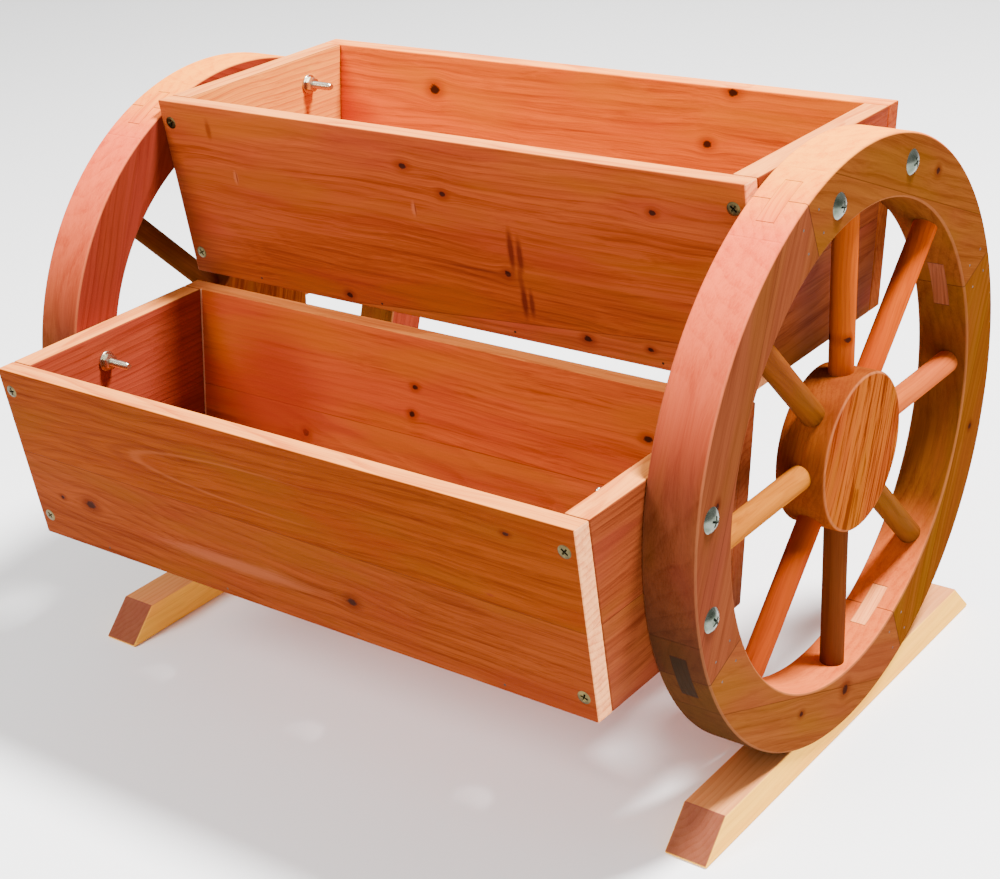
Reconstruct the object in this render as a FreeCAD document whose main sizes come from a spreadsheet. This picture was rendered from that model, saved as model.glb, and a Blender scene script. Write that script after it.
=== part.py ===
"""Two-tier garden flower cart: a pair of wooden wagon wheels on runners carry two planting troughs.

+X runs to the right along the troughs, -Y is the front, where the lower trough stands, and +Z is up.
The origin is on the ground, midway between the wheels and midway between the front and the back.
The right-hand wheel is built in place and mirrored across X = 0 for the left-hand one.
"""
import FreeCAD, Part
import os

import Sketcher
from FreeCAD import Placement, Rotation, Vector

doc = FreeCAD.newDocument("FlowerCart")

# ---------------------------------------------------------------- driving sizes, in mm
SIZES = [
    ("trough_len", 500, "length of both troughs, over their end boards"),
    ("trough_top", 206, "outer width of a trough at its rim"),
    ("trough_base", 170, "outer width of a trough at its bottom"),
    ("trough_deep", 140, "height of a trough"),
    ("end_thick", 18, "end board"),
    ("side_thick", 15, "front and back board, measured square to its face"),
    ("floor_thick", 15, "floor board"),
    ("board_fit", 0.1, "gap beside a board that is let in between two others"),
    ("board_round", 1.2, "sanded edge of a board"),
    ("drain_wide", 12, "drain hole in the floor board"),
    ("drain_pitch", 150, "from one drain hole to the next"),
    ("wheel_half", 210, "wheel, radius over the rim"),
    ("rim_deep", 42, "rim, from its tread to its inner face"),
    ("rim_thick", 38, "rim, across its faces"),
    ("rim_round", 1.8, "sanded edge of the rim"),
    ("hub_half", 55, "hub radius"),
    ("hub_thick", 36, "hub, across its faces"),
    ("hub_out", 2.5, "how far the hub stands out past the outer face of the rim"),
    ("hub_round", 2, "sanded edge of the hub"),
    ("spoke_wide", 17, "dowel spoke, across"),
    ("spoke_in_hub", 20, "depth of a spoke in the hub"),
    ("spoke_in_rim", 13, "depth of a spoke in the rim"),
    ("spoke_bevel", 1, "bevel on the ends of a spoke"),
    ("key_len", 39, "loose key across a rim joint, along the rim"),
    ("key_thick", 12, "loose key, across the rim"),
    ("wood_fit", 0.05, "clearance all round a peg, key, screw or bolt"),
    ("foot_wide", 32, "runner, across"),
    ("foot_tall", 27, "runner height"),
    ("foot_base", 406, "runner length on the ground"),
    ("foot_top", 352, "runner length along its top"),
    ("foot_round", 1.2, "sanded edge of a runner"),
    ("foot_back", 7, "middle of a runner behind the axle line"),
    ("seat_deep", 15, "depth of the hollow that the wheel sits in"),
    ("upper_drop", 7, "rim of the upper trough below the top of the wheels"),
    ("upper_back", 15, "middle of the upper trough behind the axle line"),
    ("stack_gap", 7, "height of the gap between the two troughs"),
    ("stack_lap", 16, "how far the upper trough reaches forward over the lower one"),
    ("bolt_wide", 6, "machine bolt, across its thread"),
    ("bolt_len", 80, "machine bolt, under its head"),
    ("bolt_head", 17, "domed head, across"),
    ("bolt_dome", 3.6, "domed head, height"),
    ("bolt_down", 22, "bolt below the rim of a trough"),
    ("bolt_up", 35, "lowest bolt above the floor board"),
    ("bolt_in", 18, "front bolts, in from the tread"),
    ("bolt_pitch", 100, "from one top bolt to the other"),
    ("bolt_lead", 5, "top bolts, forward of the trough's middle"),
    ("washer_wide", 15, "washer, across"),
    ("washer_thick", 1.4, "washer"),
    ("nut_flat", 10, "hexagon nut, across its flats"),
    ("nut_tall", 5, "hexagon nut"),
    ("screw_wide", 4.8, "wood screw, across its thread"),
    ("screw_head", 9.6, "countersunk head, across"),
    ("screw_len", 45, "wood screw"),
    ("screw_tip", 6, "pointed end of a wood screw"),
    ("screw_point", 0.6, "blunt point of a wood screw, across"),
    ("screw_in", 17, "trough screws, in from the edges of a board"),
    ("foot_pitch", 90, "from one runner screw to the other"),
    ("foot_sink", 1, "heads of the runner screws above the ground"),
    ("brad_wide", 1.8, "brad"),
    ("brad_len", 30, "brad"),
    ("brad_up", 5, "floor brads above the bottom edge of a board"),
    ("brad_pitch", 120, "from one floor brad to the next"),
    ("pin_along", 20, "key brads, spacing along the rim"),
    ("pin_across", 18, "key brads, spacing across the rim"),
]

SPOKES = 8
FELLOES = ("rear_upper", "front_upper", "front_lower", "rear_lower")

sheet = doc.addObject("Spreadsheet::Sheet", "Sizes")
for row, (alias, size, note) in enumerate(SIZES, start=1):
    sheet.set(f"A{row}", note)
    sheet.set(f"B{row}", str(size))
    sheet.setAlias(f"B{row}", alias)
doc.recompute()


def of(text):
    """Turn '@alias' into a reference to the sheet."""
    return text.replace("@", "Sizes.")


# sizes that follow from the driving ones
LEAN = of("(@trough_top - @trough_base) / 2 / @trough_deep")
TILT = f"atan({LEAN})"
SIDE_RUN = of(f"@side_thick / cos({TILT})")
END_BASE = of(f"(@trough_base / 2 - {SIDE_RUN} - @board_fit)")
END_TOP = of(f"(@trough_top / 2 - {SIDE_RUN} - @board_fit)")
RIM_IN = of("(@wheel_half - @rim_deep)")
RIM_MID = of("(@wheel_half - @rim_deep / 2)")
SPOKE_X = of("(@rim_thick + @hub_out - @hub_thick / 2)")

# heights and depths counted from the axle line
UPPER_TOP = of("(@wheel_half - @upper_drop)")
UPPER_BASE = of(f"({UPPER_TOP} - @trough_deep)")
LOWER_TOP = of(f"({UPPER_BASE} - @stack_gap)")
LOWER_BASE = of(f"({LOWER_TOP} - @trough_deep)")
LOWER_MID = of("(@upper_back - @trough_top + @stack_lap)")
LOWER_FRONT = of(f"({LOWER_MID} - @trough_top / 2)")

# the axle line itself: the wheel sits in its hollow, and front and back reach alike from the origin
AXLE_Z = of("(@foot_tall - @seat_deep + @wheel_half)")
AXLE_Y = of(f"((-{LOWER_FRONT} - @wheel_half) / 2)")
WHEEL_X = of("(@trough_len / 2)")

# where the bolts go through rim and end board, as (along Y, along Z) from the axle line
FRONT_BOLT_Y = of("(@bolt_in - @wheel_half)")
FRONT_BOLTS = [
    (FRONT_BOLT_Y, of(f"({LOWER_TOP} - @bolt_down)")),
    (FRONT_BOLT_Y, of(f"({LOWER_BASE} + @floor_thick + @bolt_up)")),
]
TOP_BOLT_Z = of(f"({UPPER_TOP} - @bolt_down)")
TOP_BOLTS = [
    (of("(@upper_back - @bolt_lead - @bolt_pitch / 2)"), TOP_BOLT_Z),
    (of("(@upper_back - @bolt_lead + @bolt_pitch / 2)"), TOP_BOLT_Z),
]

ALONG_X = Rotation(Vector(1, 1, 1), 120)
ABOUT_X = Vector(1, 0, 0)
nodes = []


# ---------------------------------------------------------------- helpers
def bind(item, **sizes):
    """Bind properties to expressions; x, y, z and turn stand for the parts of the Placement."""
    paths = {"x": "Placement.Base.x", "y": "Placement.Base.y", "z": "Placement.Base.z",
             "turn": "Placement.Rotation.Angle"}
    for name, text in sizes.items():
        item.setExpression(paths.get(name, name), of(text))
    return item


def node(item, label, x="0", y="0", z="0"):
    """Name a finished piece and put it where it belongs on the cart."""
    item.Label = label
    bind(item, x=x, y=y, z=z)
    nodes.append(item)
    return item


def number(text):
    return float(sheet.evalExpression(text))


def join(kind, name, items):
    both = doc.addObject(kind, name)
    if kind == "Part::Compound":
        both.Links = items
    else:
        both.Shapes = items
    return both


def cut(name, base, tool):
    piece = doc.addObject("Part::Cut", name)
    piece.Base = base
    piece.Tool = tool
    return piece


def mirrored(name, source, normal):
    copy = doc.addObject("Part::Mirroring", name)
    copy.Source = source
    copy.Normal = normal
    return copy


def plane(body, role):
    return next(item for item in body.Origin.OriginFeatures if item.Role == role)


def sketch_on_yz(body, name):
    """A sketch whose X and Y lie along the cart's Y and Z."""
    sketch = body.newObject("Sketcher::SketchObject", name)
    sketch.AttachmentSupport = [(plane(body, "YZ_Plane"), "")]
    sketch.MapMode = "FlatFace"
    return sketch


def pad(body, sketch, length, both_ways=False):
    solid = body.newObject("PartDesign::Pad", f"{body.Name}_pad")
    solid.Profile = sketch
    solid.Midplane = both_ways
    bind(solid, Length=length)
    return solid


def soften(body, base, radius, kind="PartDesign::Fillet"):
    doc.recompute()
    edge = body.newObject(kind, f"{body.Name}_edges")
    edge.Base = (base, [])
    edge.UseAllEdges = True
    bind(edge, **{"Size" if kind.endswith("Chamfer") else "Radius": radius})
    body.Tip = edge


def prism(name, corners, length, radius):
    """A board of four-sided section in YZ, centred on X = 0; corners are (side, distance, height)."""
    body = doc.addObject("PartDesign::Body", name)
    sketch = sketch_on_yz(body, f"{name}_section")
    places = [Vector(side * number(of(across)), number(of(up)), 0) for side, across, up in corners]
    for here, after in zip(places, places[1:] + places[:1]):
        sketch.addGeometry(Part.LineSegment(here, after), False)
    for line in range(len(corners)):
        sketch.addConstraint(Sketcher.Constraint("Coincident", line, 2, (line + 1) % len(corners), 1))
    for line, (side, across, up) in enumerate(corners):
        ends = (-1, 1, line, 1) if side > 0 else (line, 1, -1, 1)
        sketch.addConstraint(Sketcher.Constraint("DistanceX", *ends, number(of(across))))
        bind(sketch, **{f"Constraints[{sketch.ConstraintCount - 1}]": across})
        if up == "0":
            sketch.addConstraint(Sketcher.Constraint("PointOnObject", line, 1, -1))
        else:
            sketch.addConstraint(Sketcher.Constraint("DistanceY", -1, 1, line, 1, number(of(up))))
            bind(sketch, **{f"Constraints[{sketch.ConstraintCount - 1}]": up})
    solid = pad(body, sketch, length, both_ways=True)
    soften(body, solid, radius)
    return body


def disc(name, radii, thick, radius):
    """A round plate about X, from X = 0 outwards, with a hole where two radii are given."""
    body = doc.addObject("PartDesign::Body", name)
    sketch = sketch_on_yz(body, f"{name}_section")
    for ring, text in enumerate(radii):
        circle = Part.Circle(Vector(0, 0, 0), Vector(0, 0, 1), number(of(text)))
        sketch.addGeometry(circle, False)
        sketch.addConstraint(Sketcher.Constraint("Coincident", ring, 3, -1, 1))
        sketch.addConstraint(Sketcher.Constraint("Radius", ring, number(of(text))))
        bind(sketch, **{f"Constraints[{sketch.ConstraintCount - 1}]": text})
    solid = pad(body, sketch, thick)
    soften(body, solid, radius)
    return body


def rod(name, wide, start, length, y, z):
    """A round bar along X, from start, at (y, z)."""
    bar = doc.addObject("Part::Cylinder", name)
    bar.Placement = Placement(Vector(), ALONG_X)
    return bind(bar, Radius=f"({wide}) / 2", Height=length, x=start, y=y, z=z)


def screw(name, slack):
    """A countersunk wood screw along +Z, its head flush with Z = 0."""
    half = f"(@screw_wide / 2 + {slack})"
    top = f"(@screw_head / 2 + {slack})"
    head = doc.addObject("Part::Cone", f"{name}_head")
    bind(head, Radius1=top, Radius2=half, Height=f"{top} - {half}")
    shank = doc.addObject("Part::Cylinder", f"{name}_shank")
    bind(shank, Radius=half, Height=f"@screw_len - @screw_tip + {slack}")
    tip = doc.addObject("Part::Cone", f"{name}_tip")
    bind(tip, Radius1=half, Radius2=f"@screw_point / 2 + {slack}", Height="@screw_tip",
         z=f"@screw_len - @screw_tip + {slack}")
    return join("Part::MultiFuse", name, [head, shank, tip])


def corners_of(name, items):
    """The given pieces and their mirror images in X, in Y and in both."""
    half = join("Part::Compound", f"{name}_one_side", items)
    pair = join("Part::Compound", f"{name}_pair", [half, mirrored(f"{name}_mirror_x", half, Vector(1, 0, 0))])
    return join("Part::Compound", name, [pair, mirrored(f"{name}_mirror_y", pair, Vector(0, 1, 0))])


def both_sides(name, items):
    """The right-hand pieces, moved out to their wheel, and their mirror images on the left."""
    right = join("Part::Compound", f"{name}_right", items)
    bind(right, x=WHEEL_X, y=AXLE_Y, z=AXLE_Z)
    return join("Part::Compound", name, [right, mirrored(f"{name}_left", right, Vector(1, 0, 0))])


def pair_of(piece, label):
    """A right-hand piece of wheel or runner, and its mirror image on the left."""
    node(piece, f"right_{label}", WHEEL_X, AXLE_Y, AXLE_Z)
    node(mirrored(f"left_{label}_mirror", piece, Vector(1, 0, 0)), f"left_{label}")


# ---------------------------------------------------------------- trough fasteners, in a trough's frame
def trough_screws(name, slack):
    """Two screws through each end of the front and back board, square to its face."""
    placed = []
    for level, height in (("low", "@screw_in"), ("high", "(@trough_deep - @screw_in)")):
        piece = screw(f"{name}_{level}", slack)
        piece.Placement = Placement(Vector(), Rotation(ABOUT_X, 80))
        bind(piece, x="(@trough_len - @end_thick) / 2", y=f"@trough_base / 2 + {height} * {LEAN}",
             z=height, turn=f"90 deg - {TILT}")
        placed.append(piece)
    return corners_of(name, placed)


def floor_brads(name, slack):
    """Four brads through the foot of the front and back board into the floor board."""
    placed = []
    for index, reach in enumerate(("@brad_pitch / 2", "@brad_pitch * 3 / 2")):
        pin = doc.addObject("Part::Cylinder", f"{name}_{index}")
        pin.Placement = Placement(Vector(), Rotation(ABOUT_X, 80))
        bind(pin, Radius=f"@brad_wide / 2 + {slack}", Height=f"@brad_len + {slack}", x=reach,
             y=f"@trough_base / 2 + @brad_up * {LEAN}", z="@brad_up", turn=f"90 deg - {TILT}")
        placed.append(pin)
    return corners_of(name, placed)


# ---------------------------------------------------------------- the two troughs
def trough(tier, middle_y, base_z, bolts):
    """Five boards, their screws and brads; the boards are bored for the bolts of the wheels."""
    y = f"({AXLE_Y} + {middle_y})"
    z = f"({AXLE_Z} + {base_z})"
    drill = join("Part::Compound", f"{tier}_drill", [
        trough_screws(f"{tier}_screw_holes", "@wood_fit"), floor_brads(f"{tier}_brad_holes", "@wood_fit")])
    bores = [rod(f"{tier}_bolt_bore_{index}", "@bolt_wide + @wood_fit * 2", "-@trough_len / 2", "@trough_len",
                 f"{across} - {middle_y}", f"{up} - {base_z}") for index, (across, up) in enumerate(bolts)]
    end_drill = join("Part::Compound", f"{tier}_end_drill", [drill] + bores)

    side = prism(f"{tier}_side", [
        (1, "@trough_base / 2", "0"), (1, "@trough_top / 2", "@trough_deep"),
        (1, f"@trough_top / 2 - {SIDE_RUN}", "@trough_deep"), (1, f"@trough_base / 2 - {SIDE_RUN}", "0"),
    ], "@trough_len", "@board_round")
    back = cut(f"{tier}_back", side, drill)
    front = mirrored(f"{tier}_front", back, Vector(0, 1, 0))
    node(back, f"{tier}_trough_back_board", "0", y, z)
    flipped = join("Part::Compound", f"{tier}_front_placed", [front])
    node(flipped, f"{tier}_trough_front_board", "0", f"{y} * 2", "0")

    blank = prism(f"{tier}_end", [
        (-1, END_BASE, "0"), (1, END_BASE, "0"), (1, END_TOP, "@trough_deep"), (-1, END_TOP, "@trough_deep"),
    ], "@end_thick", "@board_round")
    bind(blank, x="(@trough_len - @end_thick) / 2")
    right = cut(f"{tier}_right_end", blank, end_drill)
    node(right, f"{tier}_trough_right_end_board", "0", y, z)
    node(mirrored(f"{tier}_left_end", right, Vector(1, 0, 0)), f"{tier}_trough_left_end_board")

    floor = prism(f"{tier}_floor", [
        (-1, END_BASE, "0"), (1, END_BASE, "0"),
        (1, f"{END_BASE} + @floor_thick * {LEAN}", "@floor_thick"),
        (-1, f"{END_BASE} + @floor_thick * {LEAN}", "@floor_thick"),
    ], "@trough_len - @end_thick * 2 - @board_fit * 2", "@board_round")
    drains = []
    for step in (-1, 0, 1):
        drain = doc.addObject("Part::Cylinder", f"{tier}_drain_{step + 1}")
        drains.append(bind(drain, Radius="@drain_wide / 2", Height="@floor_thick", x=f"@drain_pitch * {step}"))
    floor_drill = join("Part::Compound", f"{tier}_floor_drill", [drill] + drains)
    node(cut(f"{tier}_floor_cut", floor, floor_drill), f"{tier}_trough_floor_board", "0", y, z)

    node(trough_screws(f"{tier}_screws", "0"), f"{tier}_trough_screws", "0", y, z)
    node(floor_brads(f"{tier}_brads", "0"), f"{tier}_trough_floor_brads", "0", y, z)


trough("lower", LOWER_MID, LOWER_BASE, FRONT_BOLTS)
trough("upper", of("@upper_back"), UPPER_BASE, TOP_BOLTS)


# ---------------------------------------------------------------- what goes through the rim
# The wheel's frame has its origin on the axle line, where the rim's inner face meets the end boards.
def joint_turns():
    """The four joints of the rim, each midway between two spokes."""
    return [360 / SPOKES / 2 + 360 / len(FELLOES) * index for index in range(len(FELLOES))]


def key_block(name, turn, slack):
    """A flat block through the rim, across one of its joints."""
    block = doc.addObject("Part::Box", name)
    block.Placement = Placement(Vector(), Rotation(ABOUT_X, turn))
    inner = f"({RIM_IN} - @rim_deep / 4)"
    half = f"(@key_len / 2 + {slack})"
    return bind(block, Length=f"@key_thick + {slack} * 2", Width="@rim_deep * 3 / 2", Height=f"{half} * 2",
                x=f"(@rim_thick - @key_thick) / 2 - {slack}",
                y=f"{inner} * cos({turn}) + {half} * sin({turn})",
                z=f"{inner} * sin({turn}) - {half} * cos({turn})")


def spoke_bar(name, turn, slack):
    """A straight dowel from inside the hub to inside the rim."""
    body = doc.addObject("PartDesign::Body", name)
    sketch = body.newObject("Sketcher::SketchObject", f"{name}_section")
    sketch.AttachmentSupport = [(plane(body, "XY_Plane"), "")]
    sketch.MapMode = "FlatFace"
    half = of(f"@spoke_wide / 2 + {slack}")
    sketch.addGeometry(Part.Circle(Vector(0, 0, 0), Vector(0, 0, 1), number(half)), False)
    sketch.addConstraint(Sketcher.Constraint("Coincident", 0, 3, -1, 1))
    sketch.addConstraint(Sketcher.Constraint("Radius", 0, number(half)))
    bind(sketch, **{"Constraints[1]": half})
    start = f"(@hub_half - @spoke_in_hub - {slack})"
    solid = pad(body, sketch, f"{RIM_IN} + @spoke_in_rim + {slack} - {start}")
    if slack == "0":
        soften(body, solid, "@spoke_bevel", "PartDesign::Chamfer")
    body.Placement = Placement(Vector(), Rotation(ABOUT_X, turn - 90))
    return bind(body, x=SPOKE_X, y=f"{start} * cos({turn})", z=f"{start} * sin({turn})")


def key_brads(name, slack):
    """Four brads through each key, in from the outer face of the rim."""
    pins = []
    for joint, turn in enumerate(joint_turns()):
        for index, (along, across) in enumerate([(-1, -1), (-1, 1), (1, -1), (1, 1)]):
            radius = f"({RIM_MID} + @pin_across / 2 * {across})"
            shift = f"(@pin_along / 2 * {along})"
            pins.append(rod(f"{name}_{joint}_{index}", f"@brad_wide + {slack} * 2",
                            f"@rim_thick - @brad_len - {slack}", f"@brad_len + {slack}",
                            f"{radius} * cos({turn}) - {shift} * sin({turn})",
                            f"{radius} * sin({turn}) + {shift} * cos({turn})"))
    return pins


def foot_screws(name, slack):
    """Two screws up through the runner into the rim."""
    placed = []
    for index, side in enumerate((-1, 1)):
        piece = screw(f"{name}_{index}", slack)
        bind(piece, x="@rim_thick / 2", y=f"@foot_pitch / 2 * {side}", z=f"@foot_sink - {AXLE_Z}")
        placed.append(piece)
    return placed


brad_holes = join("Part::Compound", "brad_holes", key_brads("key_brad_hole", "@wood_fit"))
spoke_holes = [spoke_bar(f"spoke_hole_{index}", 360 / SPOKES * index, "@wood_fit") for index in range(SPOKES)]
key_slots = [key_block(f"key_slot_{index}", turn, "@wood_fit") for index, turn in enumerate(joint_turns())]
bolt_holes = [rod(f"rim_bolt_hole_{index}", "@bolt_wide + @wood_fit * 2", "0", "@rim_thick", y, z)
              for index, (y, z) in enumerate(FRONT_BOLTS + TOP_BOLTS)]
foot_holes = foot_screws("foot_screw_hole", "@wood_fit")
hub_drill = join("Part::Compound", "hub_drill", spoke_holes)
rim_drill = join("Part::Compound", "rim_drill", [brad_holes, hub_drill] + key_slots + bolt_holes + foot_holes)

# ---------------------------------------------------------------- wheels
ring = disc("ring", ["@wheel_half", RIM_IN], "@rim_thick", "@rim_round")
for name, turn in zip(FELLOES, joint_turns()):
    quarter = doc.addObject("Part::Cylinder", f"{name}_quarter")
    quarter.Placement = Placement(Vector(), Rotation(ABOUT_X, turn) * ALONG_X)
    quarter.Angle = 360 / len(FELLOES)
    bind(quarter, Radius="@wheel_half * 1.1", Height="@rim_thick")
    blank = join("Part::MultiCommon", f"{name}_blank", [ring, quarter])
    pair_of(cut(f"{name}_felloe", blank, rim_drill), f"wheel_{name}_felloe")

for index, turn in enumerate(joint_turns()):
    block = join("Part::MultiCommon", f"key_{index}_blank", [ring, key_block(f"key_{index}_block", turn, "0")])
    pair_of(cut(f"key_{index}", block, brad_holes), f"wheel_rim_key_{index + 1}")

hub = disc("hub", ["@hub_half"], "@hub_thick", "@hub_round")
bind(hub, x="@rim_thick + @hub_out - @hub_thick")
pair_of(cut("hub_bored", hub, hub_drill), "wheel_hub")

for index in range(SPOKES):
    dowel = spoke_bar(f"spoke_{index}", 360 / SPOKES * index, "0")
    pair_of(join("Part::Compound", f"spoke_{index}_set", [dowel]), f"wheel_spoke_{index + 1}")

# ---------------------------------------------------------------- runners
bar = prism("runner_bar", [
    (-1, "@foot_base / 2", "0"), (1, "@foot_base / 2", "0"),
    (1, "@foot_top / 2", "@foot_tall"), (-1, "@foot_top / 2", "@foot_tall"),
], "@foot_wide", "@foot_round")
bind(bar, x="@rim_thick / 2", y="@foot_back", z=f"-{AXLE_Z}")
seat = rod("runner_seat", "@wheel_half * 2 + @wood_fit * 2", "-@foot_wide", "@rim_thick + @foot_wide * 2", "0", "0")
runner_drill = join("Part::MultiFuse", "runner_drill", [seat] + foot_screws("runner_screw_hole", "@wood_fit"))
pair_of(cut("runner", bar, runner_drill), "runner")

# ---------------------------------------------------------------- bolts, washers, nuts, screws and brads
bolts = []
washers = []
nuts = []
for index, (y, z) in enumerate(FRONT_BOLTS + TOP_BOLTS):
    ball = "((@bolt_head ^ 2 / 4 + @bolt_dome ^ 2) / 2 / @bolt_dome)"
    dome = doc.addObject("Part::Sphere", f"bolt_{index}_dome")
    dome.Placement = Placement(Vector(), ALONG_X)
    dome.Angle2 = 90
    bind(dome, Radius=ball, Angle1=f"asin(({ball} - @bolt_dome) / {ball})",
         x=f"@rim_thick + @bolt_dome - {ball}", y=y, z=z)
    shank = rod(f"bolt_{index}_shank", "@bolt_wide", "@rim_thick - @bolt_len", "@bolt_len", y, z)
    bolts.append(join("Part::MultiFuse", f"bolt_{index}", [dome, shank]))

    bore = rod(f"nut_{index}_bore", "@bolt_wide + @wood_fit * 2", "-@trough_len / 2", "@trough_len / 2", y, z)
    plate = rod(f"washer_{index}_plate", "@washer_wide", "-@end_thick - @washer_thick", "@washer_thick", y, z)
    washers.append(cut(f"washer_{index}", plate, bore))
    hexagon = doc.addObject("Part::Prism", f"nut_{index}_hexagon")
    hexagon.Polygon = 6
    hexagon.Placement = Placement(Vector(), ALONG_X)
    bind(hexagon, Circumradius="@nut_flat / 2 / cos(30)", Height="@nut_tall",
         x="-@end_thick - @washer_thick - @nut_tall", y=y, z=z)
    nuts.append(cut(f"nut_{index}", hexagon, bore))

node(both_sides("bolts", bolts), "wheel_bolts")
node(both_sides("washers", washers), "wheel_bolt_washers")
node(both_sides("nuts", nuts), "wheel_bolt_nuts")
node(both_sides("key_pins", key_brads("key_brad", "0")), "wheel_rim_key_brads")
node(both_sides("foot_screw_set", foot_screws("foot_screw", "0")), "runner_screws")

# ---------------------------------------------------------------- check every object, then write
doc.recompute()
for item in doc.Objects:
    if "Invalid" in item.State or "Error" in item.State:
        raise RuntimeError(f"{item.Name} failed: {item.State}")
for item in nodes:
    if item.Shape.isNull() or not item.Shape.isValid() or not item.Shape.Solids:
        raise RuntimeError(f"{item.Label} has no sound solid")

os.makedirs("parts", exist_ok=True)
for item in nodes:
    item.Shape.exportStep(f"parts/{item.Label}.step")
print(len(nodes), "nodes,", sum(len(item.Shape.Solids) for item in nodes), "solids")
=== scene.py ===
import math

import bmesh
import bpy
from mathutils import Matrix, Vector


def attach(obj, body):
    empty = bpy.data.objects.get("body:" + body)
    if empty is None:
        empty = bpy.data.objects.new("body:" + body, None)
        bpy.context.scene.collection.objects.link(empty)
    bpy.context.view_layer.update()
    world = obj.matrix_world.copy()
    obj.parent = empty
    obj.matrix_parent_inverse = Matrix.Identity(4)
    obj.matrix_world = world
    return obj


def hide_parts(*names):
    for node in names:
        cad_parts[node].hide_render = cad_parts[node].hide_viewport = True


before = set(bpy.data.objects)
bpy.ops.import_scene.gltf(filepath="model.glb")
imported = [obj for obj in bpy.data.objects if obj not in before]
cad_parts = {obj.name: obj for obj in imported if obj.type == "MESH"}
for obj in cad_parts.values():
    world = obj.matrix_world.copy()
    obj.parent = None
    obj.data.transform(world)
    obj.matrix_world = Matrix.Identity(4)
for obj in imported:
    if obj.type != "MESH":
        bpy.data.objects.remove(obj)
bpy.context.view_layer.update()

# ---------------------------------------------------------------- floor, lights and view
# The cart stands on a plain pale floor in an evenly bright room. A small soft lamp, high up and a
# little behind its right side, brightens the tops and treads, and a wider, weaker one the fronts.
# The view is from above its right front corner.
bpy.ops.object.select_all(action="DESELECT")
bpy.ops.mesh.primitive_plane_add(size=12, location=(0, 0, -0.0004))
floor = bpy.context.object
floor.name = "pale_floor"
floor_paint = bpy.data.materials.new("pale_floor")
floor_paint.use_nodes = True
floor_shader = floor_paint.node_tree.nodes["Principled BSDF"]
floor_shader.inputs["Base Color"].default_value = (0.93, 0.93, 0.93, 1)
floor_shader.inputs["Roughness"].default_value = 0.8
floor.data.materials.append(floor_paint)

room = bpy.data.worlds.new("bright_room")
room.use_nodes = True
room_light = room.node_tree.nodes["Background"]
room_light.inputs["Color"].default_value = (1.0, 0.99, 0.98, 1)
room_light.inputs["Strength"].default_value = 0.75
bpy.context.scene.world = room


def soft_lamp(name, place, power, size):
    """A round lamp that points at the middle of the cart."""
    lamp = bpy.data.lights.new(name, "AREA")
    lamp.energy = power
    lamp.shape = "DISK"
    lamp.size = size
    stand = bpy.data.objects.new(name, lamp)
    stand.location = place
    stand.rotation_euler = (Vector((0, 0, 0.2)) - Vector(place)).to_track_quat("-Z", "Y").to_euler()
    bpy.context.scene.collection.objects.link(stand)


soft_lamp("top_lamp", (1.0, 0.62, 2.98), 430, 0.6)
soft_lamp("front_lamp", (-0.9, -2.4, 2.1), 110, 1.2)

view = bpy.data.objects.new("view", bpy.data.cameras.new("view"))
bpy.context.scene.collection.objects.link(view)
view_right = Vector((0.78323, 0.617416, -0.073134))
view_back = Vector((0.574352, -0.673481, 0.465342))
view_axes = Matrix((view_right, view_back.cross(view_right), view_back)).transposed()
view.matrix_world = Matrix.Translation((0.793585, -1.010255, 0.768252)) @ view_axes.to_4x4()
view.data.lens = 67.397
view.data.sensor_width = 36
view.data.shift_x = 0.0734
view.data.shift_y = 0.10645
bpy.context.scene.camera = view


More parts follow.
